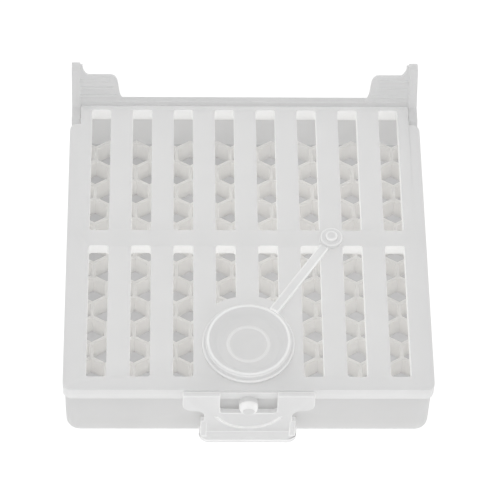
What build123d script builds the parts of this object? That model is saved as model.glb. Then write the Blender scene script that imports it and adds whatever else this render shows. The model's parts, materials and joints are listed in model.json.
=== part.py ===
from build123d import *
import math
import os

# Queen cage: a shallow moulded box with a comb floor, a slotted lid that swings on two pins
# between ears at the back, a springy latch tongue at the front and a tethered round plug.
# X runs along the hinge, Y from the latch to the hinge, Z up. Millimetres.
# The origin is the middle of the tray's rest face.

# Overall sizes
CAGE_WIDTH = 80.0
CAGE_DEPTH = 79.7
CAGE_HEIGHT = 17.5

# Tray
WALL = 1.5
FLOOR = 1.2
LID_OVERHANG = 0.3
TRAY_CORNER_RADIUS = 3.0
TRAY_BACK_CORNER_RADIUS = 0.8
TRAY_EDGE_RADIUS = 1.4
BACK_WALL_DROP = 0.2

# Lid
LID_RIM_HEIGHT = 3.5
LID_PLATE = 3.0
LID_RIM_WIDTH = 2.2
LID_CORNER_RADIUS = 1.8
LID_EDGE_RADIUS = 0.4
LID_SEAM = 0.1

# Queen excluder slots
SLOT_WIDTH = 4.4
SLOT_PITCH = 9.4
SLOT_CORNER_RADIUS = 0.5
SLOT_SIDE_MARGIN = 4.5
SLOT_FRONT_MARGIN = 3.4
SLOT_BARREL_MARGIN = 0.3
MIDDLE_BAND = 4.2

# Hinge
PIN_RADIUS = 1.1
PIN_CLEARANCE = 0.05
PIN_LENGTH = 1.5
BARREL_GAP = 0.4
EAR_SIDE_GAP = 0.25
ROOT_GAP = 0.5

# Ears
ARM_THICKNESS = 1.85
ARM_ROOT_HALF = 3.75
ARM_ROOT_CORNER = 1.2
ARM_LEAN = 57.0
ARM_REACH = 9.0
ARM_HALF_WIDTH = 1.9
ARM_TIP_RADIUS = 1.8
PANEL_THICKNESS = 1.3
PANEL_WIDTH = 8.8
PANEL_SETBACK = 0.15
PANEL_REACH = 6.2
PANEL_SHOULDER = 6.8
PANEL_SHOULDER_DROP = 2.6
PANEL_TAIL = 2.2
PANEL_TAIL_RISE = 0.1
PANEL_FLARE = 1.8
PANEL_FLARE_TOP = 8.6
PANEL_RIBS = 3
PANEL_RIB_RADIUS = 0.42
PANEL_RIB_FOOT = 1.3
PANEL_RIB_PITCH = 1.85
PANEL_RIB_LENGTH = 8.8
PANEL_RIB_STEP = 0.8

# Comb
CELL_PITCH = 6.25
CELL_WALL = 0.7
CELL_DEPTH = 5.4
COMB_GAP = 0.3
COMB_BACK_SPACE = 3.0

# Round plug and its strap
PLUG_FLANGE_RADIUS = 10.0
PLUG_FLANGE = 0.9
PLUG_RIM_RADIUS = 9.3
PLUG_RIM_WIDTH = 0.8
PLUG_RIM_HEIGHT = 2.1
PLUG_FLOOR_RADIUS = 7.0
PLUG_FLOOR_TOP = 0.3
PLUG_SKIRT_RADIUS = 7.4
PLUG_SKIRT_DEPTH = 1.7
PLUG_SKIRT_WALL = 1.0
PLUG_HOLE_CLEARANCE = 0.35
PLUG_FRONT_MARGIN = 1.55
PLUG_LAND = 2.7
PLUG_SEAT_GAP = 0.05
STRAP_WIDTH = 2.1
STRAP_THICKNESS = 1.0
STRAP_BARS_OVER = 2
STRAP_HINGE_GAP = 0.15
EYE_RADIUS = 2.5
EYE_HEIGHT = 1.2
STUD_OFFSET = 0.5
STUD_RADIUS = 0.95
STUD_CLEARANCE = 0.05
STUD_HEAD_RADIUS = 1.3
STUD_HEAD_HEIGHT = 0.5

# Latch tongue and the peg that it snaps over
TONGUE_THICKNESS = 1.2
TONGUE_ROOT_GAP = 0.3
TONGUE_TOP_DROP = 0.3
TONGUE_ROOT_HALF = 14.2
TONGUE_ROOT_DROP = 6.2
TONGUE_HALF = 9.5
TONGUE_FLOOR_GAP = 1.9
TONGUE_STEP_RADIUS = 2.2
WINDOW_HALF = 6.2
WINDOW_DROP = 7.1
WINDOW_CORNER = 0.9
LIP_HALF = 10.7
LIP_REACH = 2.3
LIP_THICKNESS = 1.0
LIP_CORNER = 2.2
GUSSET_WIDTH = 0.8
GUSSET_RISE = 4.2
BOW_RIB_HALF = 6.9
BOW_RIB_SAG = 4.4
BOW_RIB_DROP = 1.4
BOW_RIB_WIDTH = 0.5
BOW_RIB_RISE = 0.35
PEG_RADIUS = 2.1
PEG_REACH = 3.0
PEG_CREST = 0.9
PEG_SILL = 0.2
PEG_GAP = 0.15

# Places worked out from the sizes above
lid_half = CAGE_WIDTH / 2
lid_front = -CAGE_DEPTH / 2
back_face = CAGE_DEPTH / 2
lid_top = CAGE_HEIGHT
lid_base = lid_top - LID_RIM_HEIGHT
plate_base = lid_top - LID_PLATE
tray_half = lid_half - LID_OVERHANG
tray_front = lid_front + LID_OVERHANG
tray_top = lid_base - LID_SEAM
inner_half = tray_half - WALL
inner_front = tray_front + WALL
inner_back = back_face - WALL
barrel_radius = LID_RIM_HEIGHT / 2
hinge_y = inner_back - BARREL_GAP - barrel_radius
hinge_z = lid_top - barrel_radius
arm_inner = tray_half - ARM_THICKNESS
neck_half = arm_inner - EAR_SIDE_GAP
notch_front = hinge_y - ARM_ROOT_HALF - ROOT_GAP
wall_crest = lid_top - BACK_WALL_DROP
plug_y = lid_front + PLUG_FLANGE_RADIUS + PLUG_FRONT_MARGIN
plug_hole_radius = PLUG_SKIRT_RADIUS + PLUG_HOLE_CLEARANCE
land_radius = PLUG_FLANGE_RADIUS + PLUG_LAND
slot_count = int((CAGE_WIDTH - 2 * SLOT_SIDE_MARGIN + SLOT_PITCH - SLOT_WIDTH) / SLOT_PITCH)
slot_xs = [(i - (slot_count - 1) / 2) * SLOT_PITCH for i in range(slot_count)]
bar_xs = [(a + b) / 2 for a, b in zip(slot_xs, slot_xs[1:])]
anchor = Vector(bar_xs[len(bar_xs) // 2 + STRAP_BARS_OVER], -STUD_OFFSET)
plug_centre = Vector(0, plug_y)
strap_run = anchor - plug_centre
strap_way = strap_run.normalized()
strap_turn = math.degrees(math.atan2(strap_way.Y, strap_way.X))
slot_back = hinge_y - SLOT_BARREL_MARGIN
tongue_back = lid_front - TONGUE_ROOT_GAP
tongue_front = tongue_back - TONGUE_THICKNESS
tongue_top = lid_top - TONGUE_TOP_DROP
tongue_step = lid_top - TONGUE_ROOT_DROP
window_sill = lid_top - WINDOW_DROP


def block(x0, x1, y0, y1, z0, z1):
    """A box given by its lowest and highest corners."""
    middle = ((x0 + x1) / 2, (y0 + y1) / 2, (z0 + z1) / 2)
    return Pos(*middle) * Box(x1 - x0, y1 - y0, z1 - z0)


def prism_x(outline, x0, x1):
    """A Y-Z outline carried along X."""
    return Pos(x0, 0, 0) * extrude(Plane.YZ * outline, amount=x1 - x0, dir=(1, 0, 0))


def prism_y(outline, y0, y1):
    """An X-Z outline carried along Y."""
    face = Plane(origin=(0, y0, 0), x_dir=(1, 0, 0), z_dir=(0, -1, 0)) * outline
    return extrude(face, amount=y0 - y1, dir=(0, -1, 0))


def edges_at(solid, axis, place):
    """The edges of a solid that lie wholly in one plane across an axis."""
    return solid.edges().filter_by_position(axis, place - 0.01, place + 0.01)


def plan_outline(half, front, back, front_radius, back_radius):
    """A rectangle seen from above, with its own corner radius at the front and at the back."""
    plan = Pos(0, (front + back) / 2) * Rectangle(2 * half, back - front)
    plan = fillet(plan.vertices().sort_by(Axis.Y)[:2], front_radius)
    return fillet(plan.vertices().sort_by(Axis.Y)[-2:], back_radius)


def tray_shell():
    """The open box: floor, four walls and rounded outer edges."""
    plan = plan_outline(tray_half, tray_front, back_face, TRAY_CORNER_RADIUS, TRAY_BACK_CORNER_RADIUS)
    shell = extrude(plan, amount=tray_top)
    shell = fillet(edges_at(shell, Axis.Z, 0), TRAY_EDGE_RADIUS)
    inner_radius = TRAY_CORNER_RADIUS - WALL
    room = plan_outline(inner_half, inner_front, inner_back, inner_radius, inner_radius)
    return shell - Pos(0, 0, FLOOR) * extrude(room, amount=CAGE_HEIGHT)


def arm_outline():
    """The side view of an ear's arm: a root round the hinge pin, then a leaning finger."""
    lean = Vector(math.cos(math.radians(ARM_LEAN)), math.sin(math.radians(ARM_LEAN)))
    foot = Vector(hinge_y + barrel_radius, wall_crest - ARM_HALF_WIDTH)
    tip = foot + lean * (ARM_REACH + ARM_HALF_WIDTH)
    side = Vector(-lean.Y, lean.X) * ARM_HALF_WIDTH
    root_front = hinge_y - ARM_ROOT_HALF
    root_low = lid_base - LID_RIM_HEIGHT
    root = Pos((root_front + back_face) / 2, (root_low + wall_crest) / 2) * Rectangle(
        back_face - root_front, wall_crest - root_low
    )
    corner = root.vertices().sort_by(Axis.Y)[-2:].sort_by(Axis.X)[0]
    root = fillet(corner, ARM_ROOT_CORNER)
    upper = [foot + side, tip + side, tip - side]
    finger = Polygon(*[(p.X, p.Y) for p in upper], (back_face, root_low), (foot.X, root_low), align=None)
    finger = fillet(finger.vertices().sort_by(Axis.Y)[-2:], ARM_TIP_RADIUS)
    return root + finger


def panel_outline():
    """The front view of an ear's ribbed panel, from the arm inwards; Y is along the lean."""
    start = -PANEL_SETBACK
    end = PANEL_WIDTH + PANEL_TAIL
    inside_arm = -ARM_THICKNESS / 2
    flare_start = PANEL_FLARE / 3
    flare_middle = (PANEL_FLARE / 2, PANEL_REACH + PANEL_FLARE / 2)
    with BuildSketch() as sketch:
        with BuildLine():
            Polyline(
                (end, PANEL_TAIL_RISE),
                (end, start),
                (inside_arm, start),
                (inside_arm, PANEL_FLARE_TOP),
                (flare_start, PANEL_FLARE_TOP),
            )
            ThreePointArc((flare_start, PANEL_FLARE_TOP), flare_middle, (PANEL_FLARE, PANEL_REACH))
            Line((PANEL_FLARE, PANEL_REACH), (PANEL_SHOULDER, PANEL_REACH))
            Spline(
                (PANEL_SHOULDER, PANEL_REACH),
                (PANEL_WIDTH, PANEL_REACH - PANEL_SHOULDER_DROP),
                (end, PANEL_TAIL_RISE),
                tangents=((1, 0), (1, 0)),
            )
        make_face()
    return sketch.sketch


def ear():
    """The right-hand ear: the arm with its pin hole, and the ribbed panel beside it."""
    arm = prism_x(arm_outline(), arm_inner, tray_half)
    lean = math.radians(ARM_LEAN)
    plane = Plane(
        origin=(arm_inner, inner_back + PANEL_SETBACK, wall_crest),
        x_dir=(-1, 0, 0),
        z_dir=(0, math.sin(lean), -math.cos(lean)),
    )
    panel = extrude(plane * panel_outline(), amount=PANEL_THICKNESS)
    for i in range(PANEL_RIBS):
        length = PANEL_RIB_LENGTH - i * PANEL_RIB_STEP
        along = PANEL_RIB_FOOT + i * PANEL_RIB_PITCH
        middle = length / 2 - PANEL_RIB_RADIUS
        panel += plane * Pos(middle, along, 0) * Rot(0, 90, 0) * Cylinder(PANEL_RIB_RADIUS, length)
    bore = Cylinder(PIN_RADIUS + PIN_CLEARANCE, 4 * ARM_THICKNESS)
    return arm + panel - Pos(tray_half, hinge_y, hinge_z) * Rot(0, 90, 0) * bore


def peg():
    """The round peg on the tray's front wall, with the sloping top that the window rides over."""
    tip = tongue_back + PEG_GAP
    centre = window_sill + PEG_SILL + PEG_RADIUS
    body = Pos(0, tray_front, centre) * Rot(90, 0, 0) * Cylinder(PEG_RADIUS, 2 * (tray_front - tip))
    slope = 2 * PEG_CREST / PEG_REACH
    root = centre + PEG_CREST
    above = centre + 2 * PEG_RADIUS
    ramp = Polygon(
        (inner_front, root),
        (tray_front, root),
        (2 * tip - tray_front, root - slope * 2 * (tray_front - tip)),
        (2 * tip - tray_front, above),
        (inner_front, above),
        align=None,
    )
    return body - prism_x(ramp, -2 * PEG_RADIUS, 2 * PEG_RADIUS)


def tray_base():
    """The tray: shell, raised back wall, both ears and the peg behind the latch window."""
    tray = tray_shell()
    tray += block(-arm_inner, arm_inner, inner_back, back_face, tray_top - WALL, wall_crest)
    right = ear()
    tray += right
    tray += mirror(right, Plane.YZ)
    tray += peg()
    return tray


def cell_centres(first_row, front, half):
    """The comb cells' centres, row by row from the back, every other row half a cell over."""
    row_step = CELL_PITCH * math.sqrt(3) / 2
    rows = int((first_row - front) / row_step) + 2
    reach = int(half / CELL_PITCH) + 1
    centres = []
    for row in range(rows):
        shift = 0.5 * (row % 2)
        for i in range(-reach - 1, reach + 1):
            centres.append(((i + shift) * CELL_PITCH, first_row - row * row_step))
    return centres


def comb_grid():
    """The honeycomb: hexagonal cells open at the top, standing on the tray's floor."""
    half = inner_half - COMB_GAP
    front = inner_front + COMB_GAP
    outer_radius = (CELL_PITCH + CELL_WALL) / math.sqrt(3)
    cell_radius = (CELL_PITCH - CELL_WALL) / math.sqrt(3)
    first_row = inner_back - COMB_BACK_SPACE - outer_radius
    centres = cell_centres(first_row, front, half)
    sheet = Pos(0, (front + first_row) / 2) * Rectangle(2 * half, first_row - front)
    sheet = fillet(sheet.vertices().sort_by(Axis.Y)[:2], TRAY_CORNER_RADIUS - WALL)
    strip = Pos(0, first_row) * Rectangle(2 * half, 3 * outer_radius)
    for centre in centres:
        if abs(centre[1] - first_row) < CELL_WALL:
            crown = Pos(*centre) * RegularPolygon(outer_radius, 6, rotation=30)
            sheet += crown & strip
    length = 2 * (first_row - front)
    room = Pos(0, front + CELL_WALL + length / 2) * Rectangle(2 * (half - CELL_WALL), length)
    cell = RegularPolygon(cell_radius, 6, rotation=30)
    holes = []
    for centre in centres:
        hole = (Pos(*centre) * cell) & room
        holes += [face for face in hole.faces() if face.area > CELL_PITCH * CELL_WALL]
    return Pos(0, 0, FLOOR) * extrude(sheet - holes, amount=CELL_DEPTH)


def slot_outlines():
    """All the slots seen from above, in two rows, the middle ones cut short by the plug's land."""
    rows = [
        (MIDDLE_BAND / 2, slot_back),
        (lid_front + SLOT_FRONT_MARGIN, -MIDDLE_BAND / 2),
    ]
    land = Pos(0, plug_y) * Circle(land_radius)
    slots = []
    for low, high in rows:
        for x in slot_xs:
            slot = Pos(x, (low + high) / 2) * Rectangle(SLOT_WIDTH, high - low)
            if abs(x) - SLOT_WIDTH / 2 < PLUG_FLANGE_RADIUS:
                slot = Sketch() + (slot - land).faces().sort_by(Axis.Y)[-1]
            slots.append(fillet(slot.vertices(), SLOT_CORNER_RADIUS))
    return slots


def lid_blank():
    """The lid before its openings: a plate with a deeper rim, a neck and the rounded hinge edge."""
    wide = Pos(0, (lid_front + notch_front) / 2) * Rectangle(2 * lid_half, notch_front - lid_front)
    wide = fillet(wide.vertices(), LID_CORNER_RADIUS)
    neck = Pos(0, hinge_y / 2) * Rectangle(2 * neck_half, hinge_y)
    plan = wide + neck
    blank = Pos(0, 0, lid_base) * extrude(plan, amount=LID_RIM_HEIGHT)
    rounded = edges_at(blank, Axis.Z, lid_top).filter_by_position(Axis.Y, lid_front - 1, notch_front + 0.1)
    blank = fillet(rounded, LID_EDGE_RADIUS)
    inside = neck_half - LID_RIM_WIDTH
    room_front = lid_front + LID_RIM_WIDTH
    room_back = slot_back + SLOT_BARREL_MARGIN / 2
    blank -= block(-inside, inside, room_front, room_back, lid_base - 1, plate_base)
    barrel = Pos(0, hinge_y, hinge_z) * Rot(0, 90, 0) * Cylinder(barrel_radius, 2 * neck_half)
    pins = Pos(0, hinge_y, hinge_z) * Rot(0, 90, 0) * Cylinder(PIN_RADIUS, 2 * (neck_half + PIN_LENGTH))
    return blank + barrel + pins


def lid_grid():
    """The lid: slotted plate, plug hole, hinge pins and the stud that keeps the strap."""
    lid = lid_blank()
    for slot in slot_outlines():
        lid -= Pos(0, 0, lid_base - 1) * extrude(slot, amount=LID_RIM_HEIGHT + 2)
    lid -= Pos(0, plug_y, lid_top) * Cylinder(plug_hole_radius, 4 * LID_RIM_HEIGHT)
    neck_top = lid_top + PLUG_SEAT_GAP + EYE_HEIGHT + STUD_CLEARANCE
    place = Pos(anchor.X, anchor.Y, 0)
    up = (Align.CENTER, Align.CENTER, Align.MIN)
    lid += place * Pos(0, 0, lid_top - 1) * Cylinder(STUD_RADIUS, neck_top - lid_top + 1, align=up)
    lid += place * Pos(0, 0, neck_top) * Cylinder(STUD_HEAD_RADIUS, STUD_HEAD_HEIGHT, align=up)
    return lid


def strap_eye():
    """The ring at the strap's end, held round the lid's stud."""
    ring = Circle(EYE_RADIUS) - Circle(STUD_RADIUS + STUD_CLEARANCE)
    return Pos(anchor.X, anchor.Y, lid_top + PLUG_SEAT_GAP) * extrude(ring, amount=EYE_HEIGHT)


def strap():
    """The flat tether from the plug's flange to the eye, with a rounded end where it bends."""
    seat = lid_top + PLUG_SEAT_GAP
    far = strap_run.length - EYE_RADIUS - STRAP_HINGE_GAP
    bend = far - STRAP_THICKNESS / 2
    bar = block(0, bend, -STRAP_WIDTH / 2, STRAP_WIDTH / 2, 0, STRAP_THICKNESS)
    bar += Pos(bend, 0, STRAP_THICKNESS / 2) * Rot(90, 0, 0) * Cylinder(STRAP_THICKNESS / 2, STRAP_WIDTH)
    bar -= Cylinder(PLUG_FLANGE_RADIUS + PLUG_SEAT_GAP, 4 * STRAP_THICKNESS)
    return Pos(0, plug_y, seat) * Rot(0, 0, strap_turn) * bar


def cap_plug():
    """The round plug: a flange on the lid, a raised dished rim and a skirt down the hole."""
    seat = lid_top + PLUG_SEAT_GAP
    top = lid_top + PLUG_RIM_HEIGHT
    floor_top = lid_top + PLUG_FLOOR_TOP
    skirt_base = lid_top - PLUG_SKIRT_DEPTH
    section = Polygon(
        (0, floor_top),
        (PLUG_FLOOR_RADIUS, floor_top),
        (PLUG_RIM_RADIUS - PLUG_RIM_WIDTH, top),
        (PLUG_RIM_RADIUS, top),
        (PLUG_RIM_RADIUS, seat + PLUG_FLANGE),
        (PLUG_FLANGE_RADIUS, seat + PLUG_FLANGE),
        (PLUG_FLANGE_RADIUS, seat),
        (PLUG_SKIRT_RADIUS, seat),
        (PLUG_SKIRT_RADIUS, skirt_base),
        (PLUG_SKIRT_RADIUS - PLUG_SKIRT_WALL, skirt_base),
        (PLUG_SKIRT_RADIUS - PLUG_SKIRT_WALL, seat - PLUG_FLANGE / 2),
        (0, seat - PLUG_FLANGE / 2),
        align=None,
    )
    return Pos(0, plug_y, 0) * revolve(Plane.XZ * section, Axis.Z)


def tongue_outline():
    """The front view of the latch tongue: a wide root, two steps in, and the window."""
    low = TONGUE_FLOOR_GAP
    plate = Polygon(
        (-TONGUE_ROOT_HALF, tongue_top),
        (-TONGUE_ROOT_HALF, tongue_step),
        (-TONGUE_HALF, tongue_step),
        (-TONGUE_HALF, low),
        (TONGUE_HALF, low),
        (TONGUE_HALF, tongue_step),
        (TONGUE_ROOT_HALF, tongue_step),
        (TONGUE_ROOT_HALF, tongue_top),
        align=None,
    )
    steps = [v for v in plate.vertices() if abs(v.Y - tongue_step) < 0.01]
    plate = fillet(steps, TONGUE_STEP_RADIUS)
    height = 2 * (tongue_top - window_sill)
    window = Pos(0, window_sill + height / 2) * RectangleRounded(2 * WINDOW_HALF, height, WINDOW_CORNER)
    return plate - window


def bow_rib():
    """The curved rib under the window, an arc of a circle through its ends and its lowest point."""
    radius = (BOW_RIB_HALF**2 + BOW_RIB_SAG**2) / (2 * BOW_RIB_SAG)
    ends_z = window_sill - BOW_RIB_DROP
    ring = Circle(radius + BOW_RIB_WIDTH / 2) - Circle(radius - BOW_RIB_WIDTH / 2)
    lower = Pos(0, -radius - (radius - BOW_RIB_SAG)) * Rectangle(4 * radius, 2 * radius)
    arc = Pos(0, ends_z + radius - BOW_RIB_SAG) * (ring & lower)
    return prism_y(arc, (tongue_back + tongue_front) / 2, tongue_front - BOW_RIB_RISE)


def latch_tongue():
    """The springy front tongue: plate with window, bow rib, finger lip and two small gussets."""
    tongue = prism_y(tongue_outline(), tongue_back, tongue_front)
    low = TONGUE_FLOOR_GAP
    reach = TONGUE_THICKNESS + LIP_REACH
    lip = Pos(0, tongue_back - reach / 2) * Rectangle(2 * LIP_HALF, reach)
    lip = fillet(lip.vertices().sort_by(Axis.Y)[:2], LIP_CORNER)
    tongue += Pos(0, 0, low) * extrude(lip, amount=LIP_THICKNESS)
    side = Polygon(
        (tongue_back, low),
        (tongue_front - LIP_REACH / 2, low + LIP_THICKNESS / 2),
        (tongue_front - LIP_REACH / 2, low + LIP_THICKNESS),
        (tongue_front, low + LIP_THICKNESS + GUSSET_RISE),
        (tongue_back, low + LIP_THICKNESS + GUSSET_RISE),
        align=None,
    )
    gusset = prism_x(side, TONGUE_HALF - GUSSET_WIDTH / 2, TONGUE_HALF + GUSSET_WIDTH)
    return tongue + gusset + mirror(gusset, Plane.YZ) + bow_rib()


def main():
    """Write one STEP file for each piece."""
    os.makedirs("parts", exist_ok=True)
    pieces = {
        "tray_base": tray_base(),
        "comb_grid": comb_grid(),
        "lid_grid": lid_grid(),
        "latch_tongue": latch_tongue(),
        "strap_eye": strap_eye(),
        "strap": strap(),
        "cap_plug": cap_plug(),
    }
    for name, piece in pieces.items():
        export_step(piece, f"parts/{name}.step")


main()
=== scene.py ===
"""Queen cage in moulded natural polypropylene: every visible piece, its plastic, and the studio.

Run as a script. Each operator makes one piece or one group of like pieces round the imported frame.
"""

import json
import math

import bmesh
import bpy
from mathutils import Matrix, Vector


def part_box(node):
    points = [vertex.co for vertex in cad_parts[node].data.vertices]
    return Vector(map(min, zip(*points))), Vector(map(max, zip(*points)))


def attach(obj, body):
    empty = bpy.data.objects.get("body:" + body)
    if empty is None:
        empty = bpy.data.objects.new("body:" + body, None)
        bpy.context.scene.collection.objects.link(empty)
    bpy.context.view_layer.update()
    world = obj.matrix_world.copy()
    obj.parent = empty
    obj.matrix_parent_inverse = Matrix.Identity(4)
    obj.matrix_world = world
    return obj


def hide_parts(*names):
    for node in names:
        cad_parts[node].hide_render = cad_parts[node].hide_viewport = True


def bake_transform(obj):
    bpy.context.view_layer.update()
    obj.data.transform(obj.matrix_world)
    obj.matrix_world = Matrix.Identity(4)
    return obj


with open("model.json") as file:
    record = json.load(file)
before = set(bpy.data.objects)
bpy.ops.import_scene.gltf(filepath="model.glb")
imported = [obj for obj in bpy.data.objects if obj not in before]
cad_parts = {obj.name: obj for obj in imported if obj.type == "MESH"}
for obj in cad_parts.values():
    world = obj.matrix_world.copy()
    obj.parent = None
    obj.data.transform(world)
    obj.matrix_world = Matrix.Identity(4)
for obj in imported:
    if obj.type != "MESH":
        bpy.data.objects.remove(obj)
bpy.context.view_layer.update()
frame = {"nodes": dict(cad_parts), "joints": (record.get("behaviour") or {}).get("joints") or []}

bl_info = {
    "name": "Queen Cage",
    "version": (1, 0, 0),
    "blender": (4, 5, 0),
    "location": "3D View > Sidebar > Queen Cage",
    "description": "Builds a moulded queen cage with a slotted lid, a comb floor and a tethered plug",
    "category": "Object",
}

MM = 0.001
# The edge plastic is painted light: a paler tint with a painted glow on rims, rounded edges, slot walls and
# bands.
GLOW_EDGE = "natural_pp_painted_glow_edge"
LID_PAIR = ["natural_pp_moulded_lid", GLOW_EDGE]
COMB_PAIR = ["natural_pp_moulded_comb", GLOW_EDGE]
PLUG_PAIR = ["natural_pp_moulded_plug", GLOW_EDGE]
PEG_PAIR = ["natural_pp_moulded_tray", GLOW_EDGE]
# The tray's floor under the comb takes darker tints: painted shade at the bottom of the comb's cells, with a
# faint painted glow.
TRAY_SET = [*PEG_PAIR, "natural_pp_tray_floor_painted_shade"]
TRAY_FLOOR_SHADE = 2

# For each plastic: its pair of tints, the share of light that passes through, and the strength of its
# painted glow.
PLASTICS = {
    "natural_pp_moulded_lid": ("lid", 0.35, 0.0),
    "natural_pp_moulded_tray": ("tray", 0.5, 0.0),
    "natural_pp_tray_floor_painted_shade": ("floor", 0.5, 0.03),
    "natural_pp_moulded_comb": ("comb", 0.55, 0.085),
    "natural_pp_moulded_plug": ("plug", 0.4, 0.0),
    "natural_pp_painted_glow_edge": ("edge", 0.5, 0.3),
}

# The latch's peg, the webs and the wide cutters
PEG_BELOW_LATCH = 4.5 * MM
PEG_RADIUS = 2.05 * MM
PEG_REACH = 4.0 * MM
PEG_START = 1.4 * MM
WEB_LAP = 0.15 * MM
WEB_SINK = 0.05 * MM
WEB_THICKNESS = 0.5 * MM
CUTTER_DEPTH = 60 * MM
CREST = 0.4 * MM


# Places that come from the frame
LID_LOW, LID_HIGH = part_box("lid_grid")
TRAY_LOW, TRAY_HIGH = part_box("tray_base")
COMB_LOW, COMB_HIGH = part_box("comb_grid")
TONGUE_LOW, TONGUE_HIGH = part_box("latch_tongue")
PLUG_LOW, PLUG_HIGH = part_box("cap_plug")
EYE_LOW, EYE_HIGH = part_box("strap_eye")
STRAP_LOW, STRAP_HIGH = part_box("strap")
JOINTS = {joint["name"]: Vector(joint["pos_m"]) for joint in frame["joints"]}
HINGE = JOINTS["lid_hinge"]
LATCH = JOINTS["latch_flex"]
BEND = JOINTS["plug_lift"]
BARREL_RADIUS = HINGE.z - LID_LOW.z
LID_TOP = HINGE.z + BARREL_RADIUS
PLUG_CENTRE = Vector(((PLUG_LOW.x + PLUG_HIGH.x) / 2, (PLUG_LOW.y + PLUG_HIGH.y) / 2, 0))
EYE_CENTRE = Vector(((EYE_LOW.x + EYE_HIGH.x) / 2, (EYE_LOW.y + EYE_HIGH.y) / 2, 0))
STRAP_WAY = (EYE_CENTRE - PLUG_CENTRE).normalized()


def linear(hex_colour):
    """An sRGB hex colour as linear red, green and blue."""
    channels = [int(hex_colour[i : i + 2], 16) / 255 for i in (1, 3, 5)]
    return tuple(c / 12.92 if c <= 0.04045 else ((c + 0.055) / 1.055) ** 2.4 for c in channels)


def add(tree, kind, settings=None, inputs=None):
    """Adds a node with its settings; each input gets a value, a link or a list of links."""
    made = tree.nodes.new(kind)
    for key, value in (settings or {}).items():
        setattr(made, key, value)
    for key, value in (inputs or {}).items():
        socket = made.inputs[key]
        for item in value if isinstance(value, list) else [value]:
            if isinstance(item, bpy.types.Node):
                tree.links.new(item.outputs[0], socket)
            elif isinstance(item, bpy.types.NodeSocket):
                tree.links.new(item, socket)
            else:
                socket.default_value = item
    return made


# --- Plastic -------------------------------------------------------------------------------


def polypropylene(name, pale, deep, cloud=9.0, grain=0.6, gloss=0.42, through=0.5, painted_glow=0.0):
    """Natural polypropylene, injection moulded: milky, softly see-through, with faint flow clouds."""
    material = bpy.data.materials.new(name)
    material.use_nodes = True
    tree = material.node_tree
    shader = tree.nodes["Principled BSDF"]
    place = add(tree, "ShaderNodeTexCoord").outputs["Object"]
    # Flow clouds: the melt cools in patches several millimetres across, a shade apart.
    patches = {"Vector": place, "Scale": 1 / (cloud * MM), "Detail": 3.0}
    clouds = add(tree, "ShaderNodeTexNoise", None, patches)
    tint = add(tree, "ShaderNodeMix", {"data_type": "RGBA"}, {"Factor": clouds})
    tint.inputs["A"].default_value = (*deep, 1)
    tint.inputs["B"].default_value = (*pale, 1)
    tree.links.new(tint.outputs["Result"], shader.inputs["Base Color"])
    # Mould grain: sparked steel leaves a skin about 0.1 mm fine, drawn coarser so that it shows.
    skin = add(tree, "ShaderNodeTexNoise", None, {"Vector": place, "Scale": 1 / (grain * MM), "Detail": 2.0})
    sheen = add(
        tree,
        "ShaderNodeMapRange",
        None,
        {"Value": skin, "To Min": gloss - 0.06, "To Max": gloss + 0.1},
    )
    tree.links.new(sheen.outputs["Result"], shader.inputs["Roughness"])
    bump = add(
        tree, "ShaderNodeBump", None, {"Height": skin, "Strength": 0.12, "Distance": 0.05 * MM}
    )
    tree.links.new(bump.outputs["Normal"], shader.inputs["Normal"])
    shader.inputs["IOR"].default_value = 1.49
    # Painted glow: each plastic gives out some light of its own though it is no lamp, the edge plastic most,
    # then the comb.
    shader.inputs["Emission Color"].default_value = (1, 1, 1, 1)
    shader.inputs["Emission Strength"].default_value = painted_glow
    # Milky walls about a millimetre thick pass on half of the light that reaches them.
    milk = add(tree, "ShaderNodeBsdfTranslucent", None, {"Color": tint.outputs["Result"], "Normal": bump})
    body = add(tree, "ShaderNodeMixShader", None, {0: through, 1: shader, 2: milk})
    tree.links.new(body.outputs["Shader"], tree.nodes["Material Output"].inputs["Surface"])
    return material


def plastic(name):
    """The cage's plastics, each made once."""
    if name not in bpy.data.materials:
        look = bpy.context.scene.queen_cage_plastic
        field, through, painted_glow = PLASTICS[name]
        pale, deep = getattr(look, f"{field}_pale"), getattr(look, f"{field}_deep")
        polypropylene(name, pale, deep, through=through, painted_glow=painted_glow)
    return bpy.data.materials[name]


# --- Meshes --------------------------------------------------------------------------------


def link(name, mesh, materials):
    """A new object at the origin that holds the mesh and its plastics."""
    piece = bpy.data.objects.new(name, mesh)
    bpy.context.scene.collection.objects.link(piece)
    mesh.materials.clear()
    for material in materials:
        mesh.materials.append(plastic(material))
    return piece


def smooth(mesh, angle=32):
    """Smooth shading that breaks at sharp edges."""
    mesh.polygons.foreach_set("use_smooth", [True] * len(mesh.polygons))
    mesh.set_sharp_from_angle(angle=math.radians(angle))


def baked(piece):
    """The piece with its modifiers applied to its mesh."""
    graph = bpy.context.evaluated_depsgraph_get()
    mesh = bpy.data.meshes.new_from_object(piece.evaluated_get(graph), depsgraph=graph)
    piece.modifiers.clear()
    piece.data = mesh
    mesh.name = piece.name
    return piece


def eased(piece, width, segments=2, angle=40):
    """Rounds every sharp edge a little; the rounded edge takes the edge plastic, painted paler and with a
    painted glow.
    """
    bevel = piece.modifiers.new("mould_radius", "BEVEL")
    bevel.width = width
    bevel.segments = segments
    bevel.limit_method = "ANGLE"
    bevel.angle_limit = math.radians(angle)
    bevel.material = 1
    bevel.use_clamp_overlap = True
    baked(piece)
    smooth(piece.data)
    return piece


def merged_copy(name, node, materials):
    """A CAD node's shape as one clean closed mesh."""
    mesh = frame["nodes"][node].data.copy()
    work = bmesh.new()
    work.from_mesh(mesh)
    bmesh.ops.remove_doubles(work, verts=work.verts, dist=0.002 * MM)
    flat = math.radians(0.4)
    bmesh.ops.dissolve_limit(work, angle_limit=flat, verts=work.verts, edges=work.edges)
    work.to_mesh(mesh)
    work.free()
    mesh.name = name
    return link(name, mesh, materials)


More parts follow.
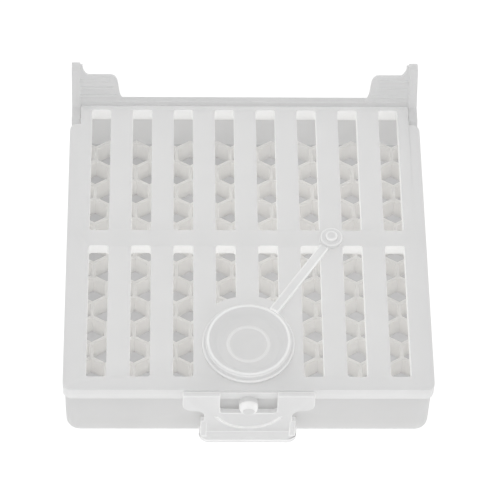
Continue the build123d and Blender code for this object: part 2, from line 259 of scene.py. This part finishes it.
def turned(name, profile, centre, materials, steps=96, glow_bands=()):
    """A piece turned round an upright line from (radius, height) pairs, closed at both poles.

    Bands whose first pair's number is among the glowing bands given take the second plastic, the edge
    plastic with its painted glow."""
    work = bmesh.new()
    rings = []
    for radius, height in profile:
        if radius < 1e-7:
            rings.append([work.verts.new((centre.x, centre.y, height))])
            continue
        ring = []
        for i in range(steps):
            turn = 2 * math.pi * i / steps
            ring.append(
                work.verts.new(
                    (centre.x + radius * math.cos(turn), centre.y + radius * math.sin(turn), height)
                )
            )
        rings.append(ring)
    bands = []
    for band, (low, high) in enumerate(zip(rings, rings[1:])):
        for i in range(steps):
            j = (i + 1) % steps
            corners = [low[i % len(low)], low[j % len(low)], high[j % len(high)], high[i % len(high)]]
            work.faces.new(list(dict.fromkeys(corners)))
            bands.append(int(band in glow_bands))
    bmesh.ops.recalc_face_normals(work, faces=work.faces)
    mesh = bpy.data.meshes.new(name)
    work.to_mesh(mesh)
    work.free()
    smooth(mesh, 50)
    piece = link(name, mesh, materials)
    mesh.polygons.foreach_set("material_index", bands)
    return piece


def web(name, start, end, wide, top, thick, materials, steps=8):
    """A living hinge from start to end: a thin band, thinner still along its middle."""
    way = (end - start).normalized()
    side = way.cross(Vector((0, 0, 1)))
    work = bmesh.new()
    rings = []
    for i in range(steps + 1):
        share = i / steps
        waist = 0.3 * math.sin(math.pi * share) * thick
        place = start.lerp(end, share)
        rings.append(
            [
                work.verts.new((*(place + side * half * wide / 2).xy, height))
                for half, height in (
                    (-1, top - thick + waist),
                    (1, top - thick + waist),
                    (1, top - waist),
                    (-1, top - waist),
                )
            ]
        )
    for low, high in zip(rings, rings[1:]):
        for i in range(4):
            j = (i + 1) % 4
            work.faces.new((low[i], low[j], high[j], high[i]))
    work.faces.new(rings[0])
    work.faces.new(rings[-1])
    bmesh.ops.recalc_face_normals(work, faces=work.faces)
    mesh = bpy.data.meshes.new(name)
    work.to_mesh(mesh)
    work.free()
    smooth(mesh, 50)
    return link(name, mesh, materials)


# --- Geometry Nodes ------------------------------------------------------------------------


def new_tree(name, sizes):
    """A geometry tree with a named input for each size."""
    tree = bpy.data.node_groups.new(name, "GeometryNodeTree")
    tree.interface.new_socket("Geometry", in_out="OUTPUT", socket_type="NodeSocketGeometry")
    for label, value in sizes.items():
        kind = "NodeSocketInt" if isinstance(value, int) else "NodeSocketFloat"
        tree.interface.new_socket(label, in_out="INPUT", socket_type=kind)
    return tree, add(tree, "NodeGroupInput").outputs


def calc(tree, operation, a, b=0.0):
    """One sum on two values."""
    return add(tree, "ShaderNodeMath", {"operation": operation}, {0: a, 1: b})


def vector(tree, x=0.0, y=0.0, z=0.0):
    """Three values as one vector."""
    return add(tree, "ShaderNodeCombineXYZ", None, {"X": x, "Y": y, "Z": z})


def slab(tree, width, depth, corner, height):
    """A plate with rounded corners, standing on its own middle."""
    outline = add(tree, "GeometryNodeCurvePrimitiveQuadrilateral", None, {"Width": width, "Height": depth})
    rounded = {"Curve": outline, "Count": 8, "Radius": corner, "Limit Radius": True}
    soft = add(tree, "GeometryNodeFilletCurve", {"mode": "POLY"}, rounded)
    face = add(tree, "GeometryNodeFillCurve", {"mode": "NGONS"}, {"Curve": soft})
    up = vector(tree, z=height)
    raised = add(
        tree,
        "GeometryNodeExtrudeMesh",
        None,
        {"Mesh": face, "Offset": up, "Offset Scale": 1.0, "Individual": False},
    )
    under = add(tree, "GeometryNodeFlipFaces", None, {"Mesh": face})
    both = add(tree, "GeometryNodeJoinGeometry", None, {"Geometry": [raised, under]})
    return add(tree, "GeometryNodeMergeByDistance", None, {"Geometry": both, "Distance": 0.001 * MM})


def moved(tree, geometry, place, turn=(0.0, 0.0, 0.0)):
    """The geometry turned, then moved."""
    return add(
        tree,
        "GeometryNodeTransform",
        None,
        {"Geometry": geometry, "Translation": place, "Rotation": tuple(math.radians(a) for a in turn)},
    )


def carve(tree, operation, first, others):
    """A union, difference or intersection of closed solids."""
    return add(
        tree,
        "GeometryNodeMeshBoolean",
        {"operation": operation, "solver": "MANIFOLD"},
        {"Mesh 1": first, "Mesh 2": others} if operation == "DIFFERENCE" else {"Mesh 2": [first, *others]},
    )


def finish_tree(tree, geometry, material):
    """Ends a tree: real geometry, with its plastic."""
    real = add(tree, "GeometryNodeRealizeInstances", None, {"Geometry": geometry})
    painted = add(tree, "GeometryNodeSetMaterial", None, {"Geometry": real, "Material": plastic(material)})
    add(tree, "NodeGroupOutput", None, {"Geometry": painted})


def grown(name, tree, sizes, materials):
    """Runs a tree on an empty mesh and keeps the result as a plain mesh."""
    piece = link(name, bpy.data.meshes.new(name), [])
    modifier = piece.modifiers.new(name, "NODES")
    modifier.node_group = tree
    sockets = {item.name: item.identifier for item in tree.interface.items_tree if item.in_out == "INPUT"}
    for label, value in sizes.items():
        modifier[sockets[label]] = value
    baked(piece)
    if not piece.data.polygons:
        raise RuntimeError(f"{name} came out of its tree empty")
    piece.data.materials.clear()
    for material in materials:
        piece.data.materials.append(plastic(material))
    return piece


# --- Sizes and colours that a user would change ------------------------------------------------


def length(label, about, millimetres):
    """A length property in metres."""
    return bpy.props.FloatProperty(
        name=label, description=about, default=millimetres * MM, min=0.0, unit="LENGTH", precision=5
    )


def hue(label, about, hex_colour):
    """A colour property, given as an sRGB hex value."""
    return bpy.props.FloatVectorProperty(
        name=label, description=about, default=linear(hex_colour), subtype="COLOR", size=3, min=0.0, max=1.0
    )


class QueenCageSizes(bpy.types.PropertyGroup):
    slot_width: length("Slot width", "Clear width of one excluder slot", 4.4)
    slot_pitch: length("Slot pitch", "From one slot to the next", 9.4)
    slot_corner: length("Slot corner", "Radius of a slot's corners", 0.6)
    slot_count: bpy.props.IntProperty(
        name="Slots in a row", description="Slots across the lid", default=8, min=1
    )
    front_margin: length("Front margin", "From the lid's front to the slots", 3.4)
    middle_band: length("Middle band", "Width of the band between the two rows", 4.2)
    barrel_margin: length("Barrel margin", "From the slots to the hinge line", 0.3)
    lid_rim: length("Lid rim", "Width of the deeper rim under the lid", 2.2)
    lid_plate: length("Lid plate", "Thickness of the slotted plate", 3.0)
    lid_corner: length("Lid corner", "Radius of the lid's corners", 1.8)
    neck_half: length("Neck", "Half width of the lid between the ears", 37.6)
    notch_front: length("Notch", "Where the lid narrows for the ears", 31.8)
    land: length("Plug land", "Radius round the plug that the slots leave solid", 12.7)
    hole: length("Plug hole", "Radius of the hole that the plug closes", 7.75)
    pin_radius: length("Hinge pin", "Radius of a moulded hinge pin", 1.1)
    edge: length("Edge radius", "Radius left on sharp edges by the mould", 0.22)
    cell_pitch: length("Cell pitch", "From one comb cell to the next", 6.25)
    cell_wall: length("Cell wall", "Thickness of the comb's walls", 0.7)


class QueenCagePlastic(bpy.types.PropertyGroup):
    lid_pale: hue("Lid, pale", "Palest tint of the lid", "#F8F8F8")
    lid_deep: hue("Lid, deep", "Deepest tint of the lid", "#F4F4F4")
    tray_pale: hue("Tray, pale", "Palest tint of the tray", "#F4F4F4")
    tray_deep: hue("Tray, deep", "Deepest tint of the tray", "#F0F0F0")
    # The floor's tints are darker than the tray's as painted shade, where the floor lies at the bottom of
    # the comb's cells.
    floor_pale: hue("Tray floor, pale", "Palest tint of the floor under the comb", "#D8D8D9")
    floor_deep: hue("Tray floor, deep", "Deepest tint of the floor under the comb", "#D0D0D1")
    comb_pale: hue("Comb, pale", "Palest tint of the comb", "#FDFDFC")
    comb_deep: hue("Comb, deep", "Deepest tint of the comb", "#FBFAF9")
    plug_pale: hue("Plug, pale", "Palest tint of the plug and strap", "#FBFBFB")
    plug_deep: hue("Plug, deep", "Deepest tint of the plug and strap", "#F8F8F8")
    # The edge tints go with a painted glow: light painted on rims, rounded edges and slot walls.
    edge_pale: hue("Edges, pale", "Palest tint of the light-gathering edges", "#FFFFFE")
    edge_deep: hue("Edges, deep", "Deepest tint of the light-gathering edges", "#FDFDFD")


# --- Pieces --------------------------------------------------------------------------------


class QUEENCAGE_OT_studio(bpy.types.Operator):
    """Pale floor, soft light and the camera"""

    bl_idname = "queencage.studio"
    bl_label = "Studio"

    def execute(self, context):
        scene = context.scene
        scene.view_settings.view_transform = "Standard"
        # Milky plastic hands light on many times before it leaves the cage.
        scene.cycles.max_bounces = 32
        scene.cycles.diffuse_bounces = 24
        world = bpy.data.worlds.new("light_tent")
        world.use_nodes = True
        world.node_tree.nodes["Background"].inputs["Color"].default_value = (*linear("#FFFFFF"), 1)
        world.node_tree.nodes["Background"].inputs["Strength"].default_value = 0.75
        scene.world = world
        bpy.ops.mesh.primitive_circle_add(vertices=64, radius=3.0, fill_type="NGON")
        floor = context.object
        floor.name = "studio_floor"
        paper = bpy.data.materials.new("white_sweep_paper")
        paper.use_nodes = True
        shader = paper.node_tree.nodes["Principled BSDF"]
        shader.inputs["Base Color"].default_value = (*linear("#808080"), 1)
        shader.inputs["Roughness"].default_value = 0.9
        shader.inputs["Emission Color"].default_value = (1, 1, 1, 1)
        shader.inputs["Emission Strength"].default_value = 0.92
        floor.data.materials.append(paper)
        for name, spot, size, watts in (
            ("soft_overhead", (-0.25, 0.35, 0.75), 0.6, 0.5),
            ("soft_front", (0.3, -0.6, 0.5), 0.5, 0.1),
        ):
            light = bpy.data.lights.new(name, "AREA")
            light.size = size
            light.energy = watts
            lamp = bpy.data.objects.new(name, light)
            scene.collection.objects.link(lamp)
            lamp.location = spot
            lamp.rotation_euler = (-Vector(spot)).to_track_quat("-Z", "Y").to_euler()
        place_camera(scene)
        return {"FINISHED"}


def place_camera(scene):
    """The camera in front of the latch, looking down on the lid."""
    aim = Vector((0.683, -3.272, LID_TOP / MM)) * MM
    yaw, rise, roll = (math.radians(a) for a in (-2.713, 55.123, 2.375))
    away = Vector((math.sin(yaw) * math.cos(rise), -math.cos(yaw) * math.cos(rise), math.sin(rise)))
    side = (-away).cross(Vector((0, 0, 1))).normalized()
    up = side.cross(-away)
    right = side * math.cos(roll) + up * math.sin(roll)
    top = up * math.cos(roll) - side * math.sin(roll)
    data = bpy.data.cameras.new("camera")
    data.sensor_width = 36.0
    data.lens = 198.8
    camera = bpy.data.objects.new("camera", data)
    scene.collection.objects.link(camera)
    turn = Matrix((right, top, away)).transposed().to_4x4()
    camera.matrix_world = Matrix.Translation(aim + away * 0.61284) @ turn
    scene.camera = camera


class QUEENCAGE_OT_lid(bpy.types.Operator):
    """Slotted lid with its hinge edge, pins and plug hole"""

    bl_idname = "queencage.lid"
    bl_label = "Slotted lid"

    def execute(self, context):
        look = context.scene.queen_cage_sizes
        slot_back = HINGE.y - look.barrel_margin
        sizes = {
            "Lid half width": LID_HIGH.x,
            "Lid front": LID_LOW.y,
            "Notch front": look.notch_front,
            "Neck half width": look.neck_half,
            "Lid corner": look.lid_corner,
            "Rim base": LID_LOW.z,
            "Rim height": 2 * BARREL_RADIUS,
            "Rim width": look.lid_rim,
            "Plate thickness": look.lid_plate,
            "Hinge line": HINGE.y,
            "Barrel radius": BARREL_RADIUS,
            "Pin radius": look.pin_radius,
            "Pin reach": look.neck_half + 1.5 * MM,
            "Slot width": look.slot_width,
            "Slot pitch": look.slot_pitch,
            "Slot corner": look.slot_corner,
            "Slot count": look.slot_count,
            "Slot front": LID_LOW.y + look.front_margin,
            "Slot back": slot_back,
            "Band": look.middle_band,
            "Plug line": PLUG_CENTRE.y,
            "Plug land": look.land,
            "Plug hole": look.hole,
            "Flange radius": PLUG_HIGH.x,
        }
        tree, value = new_tree("slotted_lid", sizes)
        depth = calc(tree, "SUBTRACT", value["Notch front"], value["Lid front"])
        middle = calc(tree, "MULTIPLY", calc(tree, "ADD", value["Notch front"], value["Lid front"]), 0.5)
        width = calc(tree, "MULTIPLY", value["Lid half width"], 2.0)
        wide = slab(tree, width, depth, value["Lid corner"], value["Rim height"])
        wide = moved(tree, wide, vector(tree, y=middle, z=value["Rim base"]))
        # The hinge edge: a rounded bar section carried across the lid.
        neck_depth = calc(tree, "ADD", value["Hinge line"], value["Barrel radius"])
        neck_width = calc(tree, "MULTIPLY", value["Neck half width"], 2.0)
        neck = slab(tree, neck_depth, value["Rim height"], value["Barrel radius"], neck_width)
        half_up = calc(tree, "ADD", value["Rim base"], value["Barrel radius"])
        neck = moved(
            tree,
            neck,
            vector(
                tree,
                x=calc(tree, "MULTIPLY", value["Neck half width"], -1.0),
                y=calc(tree, "MULTIPLY", neck_depth, 0.5),
                z=half_up,
            ),
            (90, 0, 90),
        )
        pin = add(
            tree,
            "GeometryNodeMeshCylinder",
            None,
            {
                "Vertices": 32,
                "Radius": value["Pin radius"],
                "Depth": calc(tree, "MULTIPLY", value["Pin reach"], 2.0),
            },
        )
        pin = moved(tree, pin, vector(tree, y=value["Hinge line"], z=half_up), (0, 90, 0))
        blank = carve(tree, "UNION", wide, [neck, pin])
        # The recess under the plate, inside the rim.
        rim = value["Rim width"]
        recess_half = calc(tree, "SUBTRACT", value["Neck half width"], rim)
        recess_front = calc(tree, "ADD", value["Lid front"], rim)
        recess_depth = calc(tree, "SUBTRACT", value["Slot back"], recess_front)
        gap = calc(tree, "SUBTRACT", value["Rim height"], value["Plate thickness"])
        recess = slab(
            tree,
            calc(tree, "MULTIPLY", recess_half, 2.0),
            recess_depth,
            0.3 * MM,
            calc(tree, "ADD", gap, 1 * MM),
        )
        recess_place = vector(
            tree,
            y=calc(tree, "ADD", recess_front, calc(tree, "MULTIPLY", recess_depth, 0.5)),
            z=calc(tree, "SUBTRACT", value["Rim base"], 1 * MM),
        )
        recess = moved(tree, recess, recess_place)
        half_band = calc(tree, "MULTIPLY", value["Band"], 0.5)
        back_row = self.row(tree, value, half_band, value["Slot back"])
        front_row = self.row(tree, value, value["Slot front"], calc(tree, "MULTIPLY", half_band, -1.0))
        land = add(
            tree,
            "GeometryNodeMeshCylinder",
            None,
            {"Vertices": 96, "Radius": value["Plug land"], "Depth": CUTTER_DEPTH},
        )
        land = moved(tree, land, vector(tree, y=value["Plug line"]))
        reach = calc(tree, "MULTIPLY", value["Flange radius"], 2.0)
        lane = add(tree, "GeometryNodeMeshCube", None, {"Size": vector(tree, x=reach, y=0.3, z=0.3)})
        land = carve(tree, "INTERSECT", land, [lane])
        front_row = carve(tree, "DIFFERENCE", front_row, [land])
        hole = add(
            tree,
            "GeometryNodeMeshCylinder",
            None,
            {"Vertices": 96, "Radius": value["Plug hole"], "Depth": CUTTER_DEPTH},
        )
        hole = moved(tree, hole, vector(tree, y=value["Plug line"], z=value["Rim base"]))
        lid = carve(tree, "DIFFERENCE", blank, [recess, back_row, front_row, hole])
        finish_tree(tree, lid, "natural_pp_moulded_lid")
        piece = grown("slotted_lid", tree, sizes, LID_PAIR)
        # The walls of the slots take the edge plastic, painted paler and with a painted glow.
        half, front = look.neck_half - look.lid_rim, LID_LOW.y + look.lid_rim
        for face in piece.data.polygons:
            inside = abs(face.center.x) < half and front < face.center.y < slot_back + 0.1 * MM
            if inside and abs(face.normal.z) < 0.3:
                face.material_index = 1
        eased(piece, look.edge)
        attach(piece, "lid")
        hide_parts("lid_grid")
        return {"FINISHED"}

    def row(self, tree, value, low, high):
        """One row of slot-shaped solids, from one line across the lid to another."""
        long = calc(tree, "SUBTRACT", high, low)
        slot = slab(tree, value["Slot width"], long, value["Slot corner"], 12 * MM)
        reach = calc(tree, "MULTIPLY", calc(tree, "SUBTRACT", value["Slot count"], 1.0), value["Slot pitch"])
        start = vector(
            tree,
            x=calc(tree, "MULTIPLY", reach, -0.5),
            y=calc(tree, "ADD", low, calc(tree, "MULTIPLY", long, 0.5)),
            z=calc(tree, "SUBTRACT", value["Rim base"], 4 * MM),
        )
        line = add(
            tree,
            "GeometryNodeMeshLine",
            {"mode": "OFFSET"},
            {
                "Count": value["Slot count"],
                "Start Location": start,
                "Offset": vector(tree, x=value["Slot pitch"]),
            },
        )
        placed = add(tree, "GeometryNodeInstanceOnPoints", None, {"Points": line, "Instance": slot})
        return add(tree, "GeometryNodeRealizeInstances", None, {"Geometry": placed})


class QUEENCAGE_OT_comb(bpy.types.Operator):
    """Honeycomb of shallow cells on the tray's floor"""

    bl_idname = "queencage.comb"
    bl_label = "Honeycomb"

    def execute(self, context):
        look = context.scene.queen_cage_sizes
        corner = (look.cell_pitch + look.cell_wall) / math.sqrt(3)
        first_row = COMB_HIGH.y - corner
        step = look.cell_pitch * math.sqrt(3) / 2
        rows = int((first_row - COMB_LOW.y) / step) + 2
        columns = 2 * (int(COMB_HIGH.x / look.cell_pitch) + 1) + 1
        sizes = {
            "Half width": COMB_HIGH.x,
            "Front": COMB_LOW.y,
            "First row": first_row,
            "Base": COMB_LOW.z,
            "Depth": COMB_HIGH.z - COMB_LOW.z,
            "Cell pitch": look.cell_pitch,
            "Cell wall": look.cell_wall,
            "Row step": step,
            "Rows": rows,
            "Columns": columns,
            "Corner": 1.5 * MM,
        }
        tree, value = new_tree("honeycomb", sizes)
        width = calc(tree, "MULTIPLY", value["Half width"], 2.0)
        # The sheet runs in under the back row's cells, clear of the ruled line through their middles.
        rear = calc(tree, "ADD", value["First row"], value["Cell wall"])
        depth = calc(tree, "SUBTRACT", rear, value["Front"])
        middle = calc(tree, "MULTIPLY", calc(tree, "ADD", rear, value["Front"]), 0.5)
        outline = slab(tree, width, depth, value["Corner"], 0.1)
        outline = moved(tree, outline, vector(tree, y=middle, z=-0.05))
        # The sheet is ruled through every cell's middle, so no face is left with a hole in it.
        across = calc(tree, "ADD", value["Columns"], 1.0)
        down = calc(tree, "ADD", value["Rows"], 1.0)
        size = vector(
            tree,
            x=calc(tree, "MULTIPLY", across, value["Cell pitch"]),
            y=calc(tree, "MULTIPLY", down, value["Row step"]),
            z=value["Depth"],
        )
        lines = {
            "Size": size,
            "Vertices X": calc(tree, "ADD", calc(tree, "MULTIPLY", across, 2.0), 1.0),
            "Vertices Y": calc(tree, "ADD", down, 1.0),
        }
        ruled = add(tree, "GeometryNodeMeshCube", None, lines)
        back = calc(tree, "MULTIPLY", calc(tree, "SUBTRACT", value["Rows"], 1.0), value["Row step"])
        ruled_place = vector(
            tree,
            y=calc(tree, "SUBTRACT", value["First row"], calc(tree, "MULTIPLY", back, 0.5)),
            z=calc(tree, "ADD", value["Base"], calc(tree, "MULTIPLY", value["Depth"], 0.5)),
        )
        ruled = moved(tree, ruled, ruled_place)
        inner = calc(tree, "SUBTRACT", value["Cell pitch"], value["Cell wall"])
        cells = self.cells(tree, value, inner, 8 * MM)
        outer = calc(tree, "ADD", value["Cell pitch"], value["Cell wall"])
        strip = add(tree, "GeometryNodeMeshCube", None, {"Size": vector(tree, x=width, y=9 * MM, z=0.1)})
        strip = moved(tree, strip, vector(tree, y=value["First row"]))
        # Neighbouring crowns share a wall, so they are joined as two sets of every other cell.
        crowns = [
            carve(tree, "INTERSECT", self.cells(tree, value, outer, None, first, 2), [strip])
            for first in (0, 1)
        ]
        blank = carve(tree, "INTERSECT", ruled, [carve(tree, "UNION", outline, crowns)])
        wall = value["Cell wall"]
        room_width = calc(tree, "SUBTRACT", width, calc(tree, "MULTIPLY", wall, 2.0))
        room = add(tree, "GeometryNodeMeshCube", None, {"Size": vector(tree, x=room_width, y=0.2, z=0.1)})
        room_middle = calc(tree, "ADD", calc(tree, "ADD", value["Front"], wall), 0.1)
        room = moved(tree, room, vector(tree, y=room_middle))
        cells = carve(tree, "INTERSECT", cells, [room])
        comb = carve(tree, "DIFFERENCE", blank, [cells])
        finish_tree(tree, comb, "natural_pp_moulded_comb")
        piece = grown("honeycomb", tree, sizes, COMB_PAIR)
        smooth(piece.data)
        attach(piece, "tray")
        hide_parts("comb_grid")
        return {"FINISHED"}

    def cells(self, tree, value, across, tall, first=0, skip=1):
        """Six-sided prisms on staggered points: all of them, or the back row alone where tall is None.

        In each row the prisms start at the one numbered first, and every skip-th one is made."""
        radius = calc(tree, "DIVIDE", across, math.sqrt(3))
        high = calc(tree, "ADD", value["Depth"], 2 * MM) if tall is None else tall
        prism = add(tree, "GeometryNodeMeshCylinder", None, {"Vertices": 6, "Radius": radius, "Depth": high})
        lift = calc(tree, "ADD", value["Base"], calc(tree, "MULTIPLY", high, 0.5))
        lift = calc(tree, "SUBTRACT", lift, 1 * MM)
        prism = moved(tree, prism, vector(tree, z=lift), (0, 0, 30))
        span_x = calc(tree, "MULTIPLY", calc(tree, "SUBTRACT", value["Columns"], 1.0), value["Cell pitch"])
        left = calc(tree, "ADD", value["Columns"], skip - 1 - first)
        inset = calc(tree, "MULTIPLY", value["Cell pitch"], first)
        edge = calc(tree, "MULTIPLY", span_x, -0.5)
        line_x = add(
            tree,
            "GeometryNodeMeshLine",
            {"mode": "OFFSET"},
            {
                "Count": calc(tree, "FLOOR", calc(tree, "DIVIDE", left, skip)),
                "Start Location": vector(tree, x=calc(tree, "ADD", edge, inset)),
                "Offset": vector(tree, x=calc(tree, "MULTIPLY", value["Cell pitch"], skip)),
            },
        )
        back = calc(tree, "MULTIPLY", value["Row step"], -1.0)
        line_y = add(
            tree,
            "GeometryNodeMeshLine",
            {"mode": "OFFSET"},
            {
                "Count": 1 if tall is None else value["Rows"],
                "Start Location": vector(tree, y=value["First row"]),
                "Offset": vector(tree, y=back),
            },
        )
        # Every other row stands half a cell to the side.
        odd = calc(tree, "MODULO", add(tree, "GeometryNodeInputIndex"), 2.0)
        shift = calc(tree, "MULTIPLY", odd, calc(tree, "MULTIPLY", value["Cell pitch"], 0.5))
        stagger = {"Geometry": line_y, "Offset": vector(tree, x=shift)}
        rows = add(tree, "GeometryNodeSetPosition", None, stagger)
        across_row = add(tree, "GeometryNodeInstanceOnPoints", None, {"Points": line_x, "Instance": prism})
        placed = add(tree, "GeometryNodeInstanceOnPoints", None, {"Points": rows, "Instance": across_row})
        return add(tree, "GeometryNodeRealizeInstances", None, {"Geometry": placed})


class QUEENCAGE_OT_tray(bpy.types.Operator):
    """Tray with its ears, and the peg that the latch snaps over"""

    bl_idname = "queencage.tray"
    bl_label = "Tray and peg"

    def execute(self, context):
        look = context.scene.queen_cage_sizes
        tray = merged_copy("tray", "tray_base", TRAY_SET)
        # The floor under the comb takes the darker plastic: painted shade in the cells.
        for face in tray.data.polygons:
            if face.normal.z > 0.9 and abs(face.center.z - COMB_LOW.z) < 0.3 * MM:
                face.material_index = TRAY_FLOOR_SHADE
        eased(tray, look.edge)
        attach(tray, "tray")
        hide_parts("tray_base")
        # A round peg with a domed end, turned upright and then laid forward from the wall.
        profile = [
            (0.0, 0.0),
            (PEG_RADIUS, 0.0),
            (PEG_RADIUS, 0.6 * PEG_REACH),
            (PEG_RADIUS * 0.97, 0.75 * PEG_REACH),
            (PEG_RADIUS * 0.86, 0.8625 * PEG_REACH),
            (PEG_RADIUS * 0.66, 0.9375 * PEG_REACH),
            (PEG_RADIUS * 0.38, 0.9825 * PEG_REACH),
            (0.0, PEG_REACH),
        ]
        peg = turned("latch_peg", profile, Vector(), PEG_PAIR, 48, (2, 3, 4))
        place = Matrix.Translation((0, TRAY_LOW.y + PEG_START, LATCH.z - PEG_BELOW_LATCH))
        peg.data.transform(place @ Matrix.Rotation(math.radians(90), 4, "X"))
        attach(peg, "tray")
        return {"FINISHED"}


class QUEENCAGE_OT_tongue(bpy.types.Operator):
    """Latch tongue and its living hinge"""

    bl_idname = "queencage.tongue"
    bl_label = "Latch tongue"

    def execute(self, context):
        look = context.scene.queen_cage_sizes
        tongue = merged_copy("latch_plate", "latch_tongue", PLUG_PAIR)
        eased(tongue, look.edge)
        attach(tongue, "tongue")
        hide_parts("latch_tongue")
        crest = TONGUE_HIGH.z - CREST
        edge = [v.co.x for v in frame["nodes"]["latch_tongue"].data.vertices if v.co.z > crest]
        start = Vector((0, LID_LOW.y + WEB_LAP, 0))
        end = Vector((0, TONGUE_HIGH.y - WEB_LAP, 0))
        wide = max(edge) - min(edge) - 4 * WEB_LAP
        top = TONGUE_HIGH.z - WEB_SINK
        hinge = web("tongue_web", start, end, wide, top, WEB_THICKNESS, PLUG_PAIR[:1])
        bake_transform(hinge)
        return {"FINISHED"}


class QUEENCAGE_OT_plug(bpy.types.Operator):
    """Round plug with its dished rim"""

    bl_idname = "queencage.plug"
    bl_label = "Round plug"

    def execute(self, context):
        seat = PLUG_LOW.z + 1.75 * MM
        top = PLUG_HIGH.z
        flange = seat + 0.9 * MM
        floor = LID_TOP + 0.3 * MM
        profile = [
            (0.0, floor),
            (4.1 * MM, floor),
            (4.3 * MM, floor + 0.12 * MM),
            (4.5 * MM, floor + 0.12 * MM),
            (4.7 * MM, floor),
            (6.7 * MM, floor),
            (7.0 * MM, floor + 0.12 * MM),
            (8.35 * MM, top - 0.25 * MM),
            (8.55 * MM, top - 0.06 * MM),
            (8.8 * MM, top),
            (9.05 * MM, top - 0.05 * MM),
            (9.25 * MM, top - 0.2 * MM),
            (9.3 * MM, top - 0.4 * MM),
            (9.3 * MM, flange + 0.1 * MM),
            (9.4 * MM, flange),
            (9.8 * MM, flange - 0.02 * MM),
            (9.97 * MM, flange - 0.15 * MM),
            (10.0 * MM, flange - 0.35 * MM),
            (10.0 * MM, seat + 0.1 * MM),
            (9.9 * MM, seat),
            (7.45 * MM, seat),
            (7.4 * MM, seat - 0.05 * MM),
            (7.4 * MM, PLUG_LOW.z + 0.3 * MM),
            (7.2 * MM, PLUG_LOW.z),
            (6.5 * MM, PLUG_LOW.z),
            (6.4 * MM, PLUG_LOW.z + 0.1 * MM),
            (6.4 * MM, seat - 0.5 * MM),
            (6.3 * MM, seat - 0.45 * MM),
            (0.0, seat - 0.45 * MM),
        ]
        plug = turned("round_plug", profile, PLUG_CENTRE, PLUG_PAIR, 128, (1, 3, 8, 9, 11, 15, 16))
        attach(plug, "cap")
        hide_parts("cap_plug")
        return {"FINISHED"}


class QUEENCAGE_OT_tether(bpy.types.Operator):
    """Flat strap, its eye and the stud"""

    bl_idname = "queencage.tether"
    bl_label = "Strap, eye and stud"

    def execute(self, context):
        low = STRAP_LOW.z
        eye_profile = [
            (1.0 * MM, EYE_LOW.z + 0.05 * MM),
            (1.1 * MM, EYE_LOW.z),
            (2.35 * MM, EYE_LOW.z),
            (2.5 * MM, EYE_LOW.z + 0.15 * MM),
            (2.5 * MM, EYE_HIGH.z - 0.3 * MM),
            (2.42 * MM, EYE_HIGH.z - 0.1 * MM),
            (2.2 * MM, EYE_HIGH.z),
            (1.25 * MM, EYE_HIGH.z),
            (1.0 * MM, EYE_HIGH.z - 0.15 * MM),
            (1.0 * MM, EYE_LOW.z + 0.05 * MM),
        ]
        eye = turned("strap_ring", eye_profile, EYE_CENTRE, PLUG_PAIR, 64, (2, 5, 7))
        neck = 0.95 * MM
        head = 1.3 * MM
        top = LID_HIGH.z
        stud_profile = [
            (0.0, LID_TOP - 0.4 * MM),
            (neck, LID_TOP - 0.4 * MM),
            (neck, top - 0.5 * MM),
            (head - 0.1 * MM, top - 0.5 * MM),
            (head, top - 0.4 * MM),
            (head, top - 0.2 * MM),
            (head - 0.15 * MM, top - 0.04 * MM),
            (head - 0.35 * MM, top),
            (0.0, top),
        ]
        stud = turned("lid_stud", stud_profile, EYE_CENTRE, PLUG_PAIR, 64, (5, 6))
        strap = merged_copy("strap_band", "strap", PLUG_PAIR)
        eased(strap, 0.25 * MM)
        start = EYE_CENTRE - STRAP_WAY * 2.3 * MM
        end = EYE_CENTRE - STRAP_WAY * 2.9 * MM
        top = STRAP_HIGH.z - WEB_LAP
        bend = web("strap_web", start, end, 1.7 * MM, top, 0.6 * MM, PLUG_PAIR[:1])
        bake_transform(bend)
        for piece, body, slot, nodes in (
            (eye, "lid", "natural_pp_plug", ["strap_eye"]),
            (stud, "lid", "natural_pp_lid", []),
            (strap, "cap", "natural_pp_plug", ["strap"]),
        ):
            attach(piece, body)
            if nodes:
                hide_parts(*nodes)
        return {"FINISHED"}


class QUEENCAGE_PT_panel(bpy.types.Panel):
    """The cage's pieces in the sidebar"""

    bl_label = "Queen Cage"
    bl_idname = "QUEENCAGE_PT_panel"
    bl_space_type = "VIEW_3D"
    bl_region_type = "UI"
    bl_category = "Queen Cage"

    def draw(self, context):
        for group in (context.scene.queen_cage_sizes, context.scene.queen_cage_plastic):
            for field in group.bl_rna.properties:
                if field.identifier not in {"rna_type", "name"}:
                    self.layout.prop(group, field.identifier)
        for operator in OPERATORS:
            self.layout.operator(operator.bl_idname)


OPERATORS = (
    QUEENCAGE_OT_studio,
    QUEENCAGE_OT_tray,
    QUEENCAGE_OT_comb,
    QUEENCAGE_OT_lid,
    QUEENCAGE_OT_tongue,
    QUEENCAGE_OT_plug,
    QUEENCAGE_OT_tether,
)
CLASSES = (QueenCageSizes, QueenCagePlastic, *OPERATORS, QUEENCAGE_PT_panel)


def register():
    for cls in CLASSES:
        bpy.utils.register_class(cls)
    bpy.types.Scene.queen_cage_sizes = bpy.props.PointerProperty(type=QueenCageSizes)
    bpy.types.Scene.queen_cage_plastic = bpy.props.PointerProperty(type=QueenCagePlastic)


def unregister():
    del bpy.types.Scene.queen_cage_plastic
    del bpy.types.Scene.queen_cage_sizes
    for cls in reversed(CLASSES):
        bpy.utils.unregister_class(cls)


def main():
    register()
    bpy.ops.queencage.studio()
    bpy.ops.queencage.tray()
    bpy.ops.queencage.comb()
    bpy.ops.queencage.lid()
    bpy.ops.queencage.tongue()
    bpy.ops.queencage.plug()
    bpy.ops.queencage.tether()


if __name__ == "__main__":
    main()
